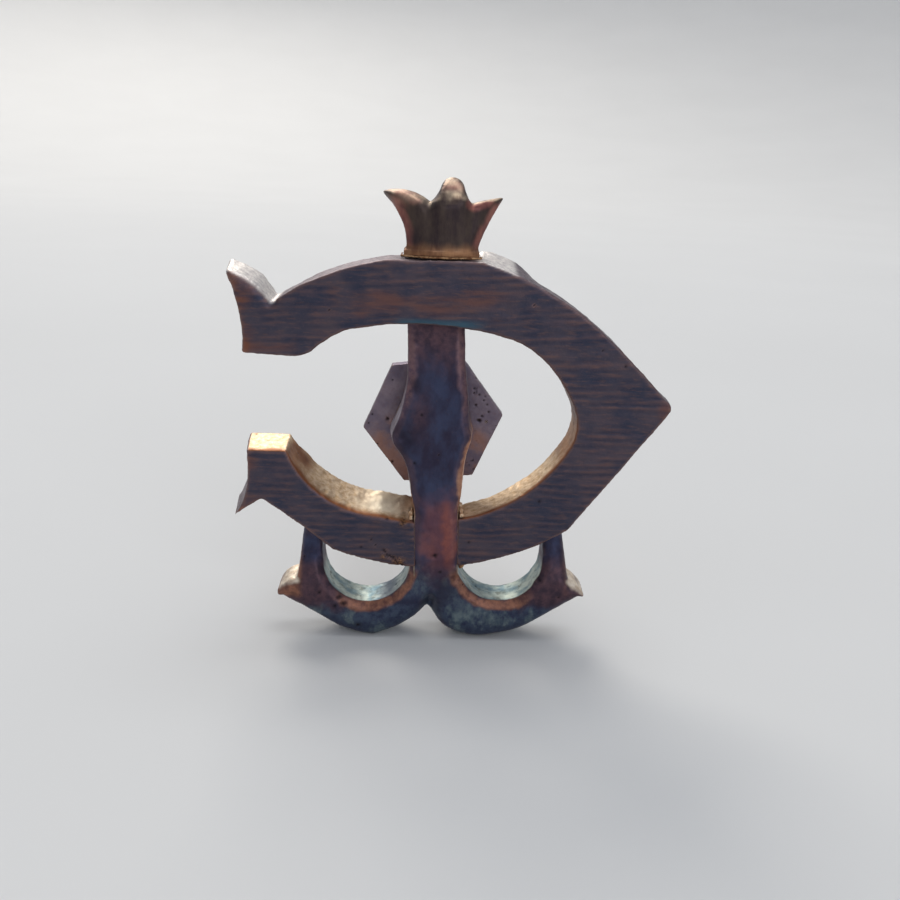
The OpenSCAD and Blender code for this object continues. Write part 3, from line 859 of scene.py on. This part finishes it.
def coronet():
    skin = Skin("coronet", "coronet_body", 0.055, 2)
    from_middle = skin.co[:, 0] - CORONET_X
    up = skin.co[:, 2] - CORONET_FOOT_Z
    middle = step(np.abs(from_middle - PETAL_SHIFT), 1.2, 0.7)
    face = curve_coronet(skin, from_middle, up, middle)
    side_edges = bevel_coronet(skin, face, from_middle, up)
    skin.relax(10)
    skin.relax(30, (middle * spot((up - 3.3, 0.5)))[:, None])
    skin.lift(0.02 * noise(skin.co, 0.8, 31) + 0.010 * noise(skin.co, 0.25, 32) - 0.015)
    skin.refresh()
    ahead = -skin.normal[:, 1]
    ragged = 0.3 * noise(skin.co, 0.5, 33)
    # painted highlights: glint spots on the middle and left petals, and the faces that look up coloured
    # pale as if lit
    painted_glint = (spot((from_middle - 0.75, 0.32), (up - 3.62, 0.20))
             + 0.6 * spot((from_middle + 1.7, 0.9), (up - 3.45, 0.3)))
    facing_up = step(skin.normal[:, 2] + ragged, 0.45, 1.0)
    skin.mark("top", np.maximum(facing_up * (0.75 + 0.5 * ragged), painted_glint))
    tip = middle * step(up + 0.5 * ragged, 3.7, 4.1) * step(ahead, 0.2, 0.5)
    side = step(skin.from_edges(side_edges) + 0.5 * ragged, 0.60, 0.20) * step(ahead, 0.0, 0.2)
    corner = spot((from_middle + 2.7, 0.5), (up - 3.1, 0.4))
    skin.mark("side", np.maximum(np.maximum(side, corner), 0.8 * tip))
    skin.mark("foot", step(up + 0.5 * ragged, 1.0, 0.35))
    skin.done("badge", coronet_material())


coronet()


# ---------------------------------------------------------------- solder

def solder_material():
    s = Shader("solder_dull")
    lump = s.noise((0.35, 0.35, 0.35), 3, 0.65)
    colour = s.layers(
        s.tones(lump, srgb(112, 72, 46), srgb(186, 148, 108), 0.35, 0.65),
        ("bright", s.tones(lump, srgb(178, 132, 92), srgb(240, 216, 184))),
        ("hollow", srgb(58, 38, 28)))
    return s.finish(colour, s.ramp(lump, 0.3, 0.7, 0.65, 0.5), 0.6, s.bump(lump, 0.04))


def solder(node, name, seed, lumps, grit, lowered):
    """Lumpy solder: lumps and grit are heights of noise, and lowered is how far it all sinks."""
    skin = Skin(node, name, 0.05, 2)
    skin.lift(lumps * (noise(skin.co, 0.45, seed) - 0.3) + grit * noise(skin.co, 0.2, seed + 3) - lowered)
    z = skin.co[:, 2]
    skin.mark("bright", step(z, -6.5, -6.0) * (z < 0))
    skin.done("badge", SOLDER)


SOLDER = solder_material()
solder("coronet_solder", "coronet_rim", 41, 0.02, 0, 0.04)
solder("lap_solder", "lap_beads", 42, 0.13, 0.03, 0)
solder("post_solder", "post_rim", 43, 0.05, 0.03, 0)


# ---------------------------------------------------------------- post, washer and nut

PITCH = 0.5             # of the M3 thread
POST_R = 1.5
POST_THREAD = 0.27      # depth of the post's groove
POST_CHAMFER = 0.4      # at the post's tip
POST_AROUND = 56        # points round the post
POST_PER_TURN = 10      # rings of points to a turn of the thread
NUT_THREAD = 0.2        # depth of the groove in the nut's bore

# the larger pits in the nut's face, each with its x, z and radius
NUT_PITS = (
    (3.05, 0.15, 0.12), (3.2, 0.45, 0.07), (2.75, 1.2, 0.08), (3.5, 1.25, 0.05), (3.35, 1.8, 0.05),
    (2.95, 1.9, 0.06), (3.0, 2.7, 0.05), (2.6, 2.3, 0.07), (2.7, 3.0, 0.05), (-2.35, 3.9, 0.09),
    (-2.95, 0.05, 0.10), (-3.6, 1.9, 0.04), (-2.7, 2.7, 0.05))


def thread(y, turn):
    """How deep the screw's groove is at depth y and angle turn, from 0 at the crest to 1."""
    t = (y / PITCH - turn / (2 * math.pi)) % 1
    return step(np.abs(t - 0.5), 0.42, 0.10)


def brass_material(name, low_tone, high_tone, warm, roughness):
    s = Shader(name)
    blotch = s.noise((1.6, 1.6, 1.6), 4, 0.6)
    fine = s.noise((0.15, 0.15, 0.15), 3, 0.6)
    face = s.tones(blotch, low_tone, high_tone)
    face = s.mix(s.mark("warm", s.ramp(blotch, 0.35, 0.6)), face, warm)
    face = s.mix(s.ramp(fine, 0.56, 0.75, 0, 0.35), face, warm)
    face = s.mix(s.mark("worn", 0.6), face, srgb(206, 180, 150))
    face = s.layers(face, ("hollow", srgb(58, 44, 40)), ("pit", srgb(28, 22, 28)))
    return s.finish(face, s.ramp(fine, 0.3, 0.7, roughness, roughness + 0.15), 0.85, s.bump(fine, 0.008))


def nut():
    low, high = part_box("hex_nut")
    front_y, back_y = low.y / MM, high.y / MM
    skin = Skin("hex_nut", "nut", 0.06, 2)
    x, y, z = skin.co.T
    away = np.hypot(x, z)
    cut = NUT_THREAD * step(away, 1.85, 1.62) * thread(y, np.arctan2(x, z))
    skin.co[:, 0] += x / away * cut
    skin.co[:, 2] += z / away * cut
    skin.lift(0.014 * noise(skin.co, 0.9, 51) + 0.006 * noise(skin.co, 0.25, 53) - 0.010)
    skin.refresh()
    pit = skin.pits(26, 0.06, 0.07, 52, (np.abs(skin.normal[:, 1]) > 0.9) & (away > 2))
    for px, pz, r in NUT_PITS:
        ragged = r * (1 + 0.5 * noise(skin.co, 0.15, 54))
        dip = spot((np.hypot(x - px, z - pz), ragged)) * step(y, back_y, front_y)
        skin.co[:, 1] += 0.9 * r * dip
        pit = np.maximum(pit, dip)
    freckles = step(noise(skin.co, 0.14, 55) + 0.7 * noise(skin.co, 0.7, 56), 0.75, 1.1) * step(x, 1.5, 2.5)
    skin.mark("pit", np.maximum(pit, 0.7 * freckles))
    skin.mark("warm", step(z + 0.6 * away + 0.6 * noise(skin.co, 1.0, 57), 2.2, 0.8))
    skin.done("nut", brass_material(
        "nut_aged_brass", srgb(110, 100, 116), srgb(138, 124, 134), srgb(146, 112, 104), 0.42))


def washer():
    skin = Skin("washer", "washer_ring", 0.05, 2)
    skin.lift(0.01 * noise(skin.co, 0.5, 62) - 0.008)
    skin.mark("pit", skin.pits(20, 0.06, 0.04, 61))
    skin.mark("warm", step(noise(skin.co, 0.9, 63), 0, 0.5))
    skin.done("washer", brass_material(
        "washer_aged_brass", srgb(120, 96, 78), srgb(158, 128, 96), srgb(120, 82, 60), 0.38))


def post():
    """The threaded post, with the thread's groove cut between the solder and the tip."""
    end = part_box("post")[1].y / MM
    ys = np.arange(0.0, end, PITCH / POST_PER_TURN)
    turn = np.linspace(0, 2 * math.pi, POST_AROUND, endpoint=False)
    grid_y, grid_t = np.meshgrid(ys, turn, indexing="ij")
    groove = thread(grid_y, grid_t) * step(grid_y, 0.5, 0.9)
    radius = POST_R - 0.006 - POST_THREAD * groove
    radius = np.minimum(radius, POST_R - np.clip(grid_y - (end - POST_CHAMFER), 0, 1))
    points = np.stack([radius * np.sin(grid_t), grid_y, radius * np.cos(grid_t)], 2).reshape(-1, 3)
    # the end is slightly domed
    rim = points[-POST_AROUND:]
    domes = [rim * (share, 0, share) + (0, end - 0.02 * share ** 2, 0) for share in (0.75, 0.45)]
    points = np.concatenate([points, *domes, [[0, end, 0], [0, 0, 0]]])
    rings = len(ys) + len(domes)
    top, bottom = len(points) - 2, len(points) - 1
    faces = tube_faces(0, POST_AROUND, rings - 1)
    last = (rings - 1) * POST_AROUND
    for k in range(POST_AROUND):
        after = (k + 1) % POST_AROUND
        faces.append((last + k, top, last + after))
        faces.append((k, after, bottom))
    mesh = bpy.data.meshes.new("post_rod")
    mesh.from_pydata((points * MM).tolist(), [], faces)
    mesh.shade_smooth()
    deep = np.concatenate([groove.ravel(), np.zeros(len(points) - groove.size)])
    store(mesh, "hollow", 0.85 * step(deep, 0.2, 1))
    store(mesh, "worn", step(deep, 0.25, 0))
    store(mesh, "pit", 0 * deep)
    store(mesh, "warm", step(noise(points, 1.5, 72), 0, 0.6))
    material = brass_material(
        "post_thread_brass", srgb(128, 100, 72), srgb(168, 138, 98), srgb(130, 92, 62), 0.32)
    add_piece("post_rod", mesh, material, "badge", "post")


nut()
washer()
post()
